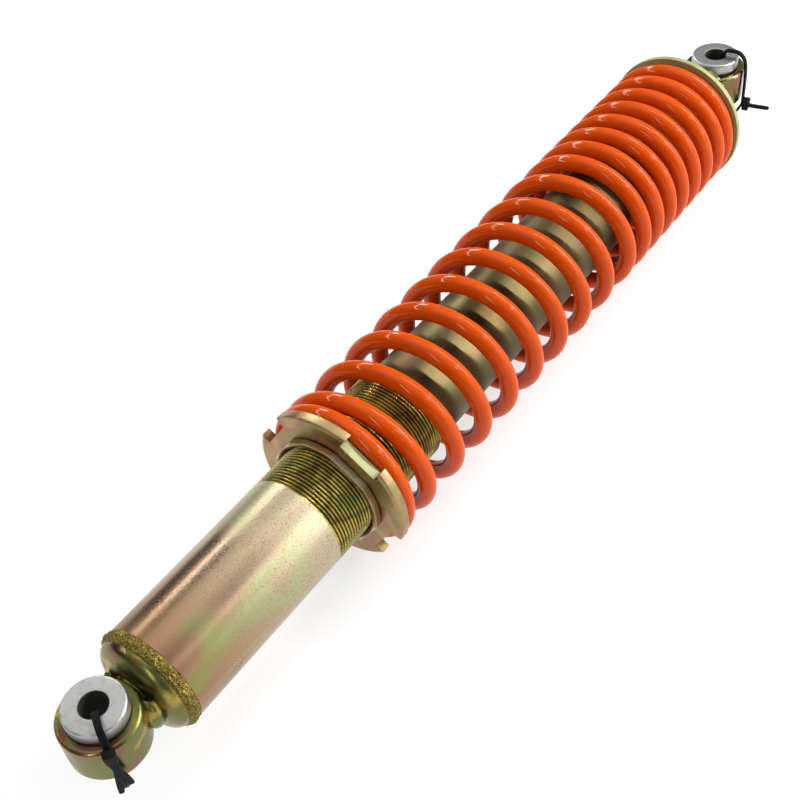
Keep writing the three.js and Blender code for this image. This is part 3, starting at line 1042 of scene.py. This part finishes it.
def lower_tails(out):
    """Two tails that hang from the head: points in millimetres, outwards, sideways and up."""
    return (
        [(out, 0.9, 9), (out + 0.2, 0.2, 2), (out, -1.6, -12)],
        [(out, -0.9, 9), (out + 0.2, 0.4, 2), (out, 2.6, -9)],
    )


def upper_tails(out):
    """One tail that stands out level with the head."""
    return ([(out - 1, 0, -10), (out + 4, 0, -10.3), (out + 12, 0, -10)],)


class SHOCK_OT_ties(bpy.types.Operator):
    """Thread a black nylon tie through each bore and round the eye"""
    bl_idname = "shock.ties"
    bl_label = "Cable ties"

    def strap(self, name, points, outside=None, taper=0.0):
        """Flat toothed strap along the points; its outer side faces outside or, if None, off the loop."""
        s = sizes()
        path = curve_through(points, 14)
        middle = Vector((8 * MM, 0, 0))
        ups = [outside or (point - middle).normalized() for point in path]
        half, thick, edge, tooth = s.tie_width / 2, s.tie_thick / 2, 0.3 * MM, 0.06 * MM

        def section(t):
            w = half * (1 - taper * max(0.0, t - 0.8) / 0.2)
            top = thick - tooth * (1 + math.sin(t * len(path) * 1.25))
            return [
                (-w, edge - thick), (edge - w, -thick), (w - edge, -thick), (w, edge - thick),
                (w, thick - edge), (w - edge, thick), (w - 2 * edge, top), (2 * edge - w, top),
                (edge - w, thick), (-w, thick - edge),
            ]

        return sweep(name, path, ups, section, "black_nylon", 40)

    def head(self, name, centre):
        """The tie's locking head: a rounded block, narrower towards the tails."""
        bpy.ops.mesh.primitive_cube_add(size=1)
        obj = bpy.context.active_object
        obj.name = obj.data.name = name
        obj.data.transform(Matrix.Diagonal((*HEAD_SIZE, 1)))
        for vertex in obj.data.vertices:
            if vertex.co.z < 0:
                vertex.co.y *= 0.84
                vertex.co.x *= 0.9
        obj.data.transform(Matrix.Translation(centre))
        obj.data.materials.clear()
        obj.data.materials.append(finish_named("black_nylon"))
        bevel = obj.modifiers.new("edges", "BEVEL")
        bevel.width = HEAD_ROUNDING
        bevel.segments = 4
        bpy.context.view_layer.objects.active = obj
        bpy.ops.object.modifier_apply(modifier=bevel.name)
        obj.data.shade_smooth()
        obj.data.set_sharp_from_angle(angle=math.radians(40))
        return obj

    def tie(self, end, bearing, head_z, reach, tails):
        """A loop down the bore and round the eye, its head at head_z, set off by reach, and its tails."""
        centre = eye_centre(end)
        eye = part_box("lower_eye")[1]
        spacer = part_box("lower_spacer_top")[1]
        out, rim, bore = eye.y + 1.6 * MM, spacer.y + 1.4 * MM, 3.4 * MM
        arch, bend = bore + 1.5 * MM, 8 * MM
        top = spacer.z + 3.3 * MM
        inside = spacer.z - 1.5 * MM
        loop = [
            (out, head_z), (out - 0.7 * MM, 10 * MM), (rim, top - 1.1 * MM), (bend, top),
            (arch, top - 0.8 * MM), (bore, inside), (bore, 0), (bore, -inside), (arch, 0.8 * MM - top),
            (bend, -top), (rim, 1.1 * MM - top), (out, -10 * MM), (out, head_z),
        ]
        parts = [
            self.strap(f"{end}_tie_loop", [Vector((a, 0, b)) for a, b in loop]),
            self.head(f"{end}_tie_head", Vector((out + reach, 0, head_z))),
        ]
        for i, tail in enumerate(tails):
            route = [Vector(p) * MM for p in tail]
            hangs = abs(route[-1].x - route[0].x) < 2 * MM
            flat_side = Vector((1, 0, 0)) if hangs else Vector((0, 0, 1))
            parts.append(self.strap(f"{end}_tie_tail_{i + 1}", route, flat_side, taper=0.25))
        turn = Matrix.Translation((centre, 0, 0)) @ Matrix.Rotation(math.radians(bearing), 4, "Z")
        for part in parts:
            part.data.transform(turn)
            settle(part, f"{end}_spacers", "black_nylon")
        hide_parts(f"{end}_cable_tie")

    def execute(self, context):
        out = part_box("lower_eye")[1].y / MM + 2.9
        self.tie("lower", -121, 9 * MM, 0.7 * MM, lower_tails(out))
        self.tie("upper", -82, -10 * MM, 1.8 * MM, upper_tails(out))
        return {"FINISHED"}


FLOOR_SIDE = 12.0
FLOOR_ROWS = 24
FLOOR_GAP = 0.6 * MM
# height in the room, from 0 below to 1 above, and the grey of its walls there
WALL_GREYS = ((0.0, 0.05), (0.35, 0.12), (0.6, 0.42), (0.78, 0.18), (1.0, 0.75))
CAMERA_PLACE = (-0.09066, -0.21957, 0.35369)
CAMERA_TURN = (42.908, 5.696, -53.16)
CAMERA_LENS = 55.77
CAMERA_SHIFT = (0.0423, 0.0342)
MIDDLE = (0.2, 0, 0)
# name, place, target, size, power in watts and the way along which the first side is laid
LAMPS = (
    ("overhead", (0.2, 0.25, 1.3), MIDDLE, (1.6, 0.9), 3, (1, 0, 0)),
    ("front_strip", (0.8, -0.76, 0.7), MIDDLE, (1.5, 0.1), 3, (1, 0, 0)),
    ("left_strip", (0.0, 0.95, 0.75), MIDDLE, (1.3, 0.05), 3, (1, 0, 0)),
    ("right_panel", (0.8, -1.05, 0.3), (0.1, 0, 0), (1.7, 0.5), 4, (0.83, 0.55, 0)),
    ("flank_strip", (0.9, -0.53, 0.65), MIDDLE, (1.4, 0.03), 14, (0, -0.765, -0.643)),
    ("far_panel", (0.9, 0.92, 0.64), MIDDLE, (0.3, 0.2), 5, (1, 0, 0)),
    ("end_panel", (-0.95, -0.25, 0.6), MIDDLE, (0.06, 0.7), 2, (0.21, -0.98, 0)),
)


class SHOCK_OT_stage(bpy.types.Operator):
    """Lay the pale floor, hang the soft lights and set the camera"""
    bl_idname = "shock.stage"
    bl_label = "Stage, lights and camera"

    def floor(self):
        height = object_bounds()[0][2] - FLOOR_GAP
        across = [FLOOR_SIDE * (i / FLOOR_ROWS - 0.5) for i in range(FLOOR_ROWS + 1)]
        vertices = [(x, y, height) for x in across for y in across]
        row = FLOOR_ROWS + 1
        faces = [(i * row + j, (i + 1) * row + j, (i + 1) * row + j + 1, i * row + j + 1)
                 for i in range(FLOOR_ROWS) for j in range(FLOOR_ROWS)]
        obj = mesh_object("studio_floor", vertices, faces, "floor")
        obj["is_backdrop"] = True

    def light(self, name, place, target, size, power, along):
        """A soft panel at place that faces target, with its first side laid along the given way."""
        lamp = bpy.data.lights.new(name, "AREA")
        lamp.shape = "RECTANGLE"
        lamp.size, lamp.size_y = size
        lamp.energy = power
        back = (Vector(place) - Vector(target)).normalized()
        side = (Vector(along) - back * back.dot(Vector(along))).normalized()
        turn = Matrix((side, back.cross(side), back)).transposed()
        obj = bpy.data.objects.new(name, lamp)
        obj.matrix_world = Matrix.Translation(place) @ turn.to_4x4()
        bpy.context.scene.collection.objects.link(obj)

    def studio_walls(self):
        """Grey room whose walls get darker towards the ground, so that metal has something to mirror."""
        world = bpy.data.worlds.new("studio")
        world.use_nodes = True
        walls = Nodes(world.node_tree)
        place = walls.node("ShaderNodeTexCoord", output="Generated")
        height = walls.node("ShaderNodeSeparateXYZ", inputs={0: place}, output="Z")
        greys = [(level, (grey, grey, grey)) for level, grey in WALL_GREYS]
        wall = walls.node("ShaderNodeValToRGB", {"stops": greys}, {0: height})
        walls.feed(world.node_tree.nodes["Background"].inputs["Color"], wall)
        bpy.context.scene.world = world

    def camera(self):
        lens = bpy.data.cameras.new("camera")
        lens.sensor_width = 36
        lens.lens = CAMERA_LENS
        lens.shift_x, lens.shift_y = CAMERA_SHIFT
        lens.clip_start, lens.clip_end = 0.01, 50
        obj = bpy.data.objects.new("camera", lens)
        obj.location = CAMERA_PLACE
        obj.rotation_euler = [math.radians(turn) for turn in CAMERA_TURN]
        bpy.context.scene.collection.objects.link(obj)
        bpy.context.scene.camera = obj

    def execute(self, context):
        self.floor()
        self.camera()
        for lamp in LAMPS:
            self.light(*lamp)
        self.studio_walls()
        bpy.context.scene.view_settings.view_transform = "Standard"
        return {"FINISHED"}


OPERATORS = (
    SHOCK_OT_finishes, SHOCK_OT_eyes, SHOCK_OT_end_cap, SHOCK_OT_welds, SHOCK_OT_body, SHOCK_OT_collar,
    SHOCK_OT_spring, SHOCK_OT_rod_end, SHOCK_OT_ties, SHOCK_OT_stage,
)


class SHOCK_PT_panel(bpy.types.Panel):
    """Lists the shock's sizes, colours and pieces"""
    bl_label = "Coil-over shock"
    bl_idname = "SHOCK_PT_panel"
    bl_space_type = "VIEW_3D"
    bl_region_type = "UI"
    bl_category = "Shock"

    def draw(self, context):
        for group in (context.scene.shock_sizes, context.scene.shock_colours):
            column = self.layout.column(align=True)
            for name in group.__annotations__:
                column.prop(group, name)
        for operator in OPERATORS:
            self.layout.operator(operator.bl_idname)


CLASSES = (ShockSizes, ShockColours, *OPERATORS, SHOCK_PT_panel)


def register():
    for cls in CLASSES:
        bpy.utils.register_class(cls)
    bpy.types.Scene.shock_sizes = PointerProperty(type=ShockSizes)
    bpy.types.Scene.shock_colours = PointerProperty(type=ShockColours)


def unregister():
    del bpy.types.Scene.shock_colours
    del bpy.types.Scene.shock_sizes
    for cls in reversed(CLASSES):
        bpy.utils.unregister_class(cls)


def main():
    register()
    for operator in OPERATORS:
        group, name = operator.bl_idname.split(".")
        getattr(getattr(bpy.ops, group), name)()


if __name__ == "__main__":
    main()
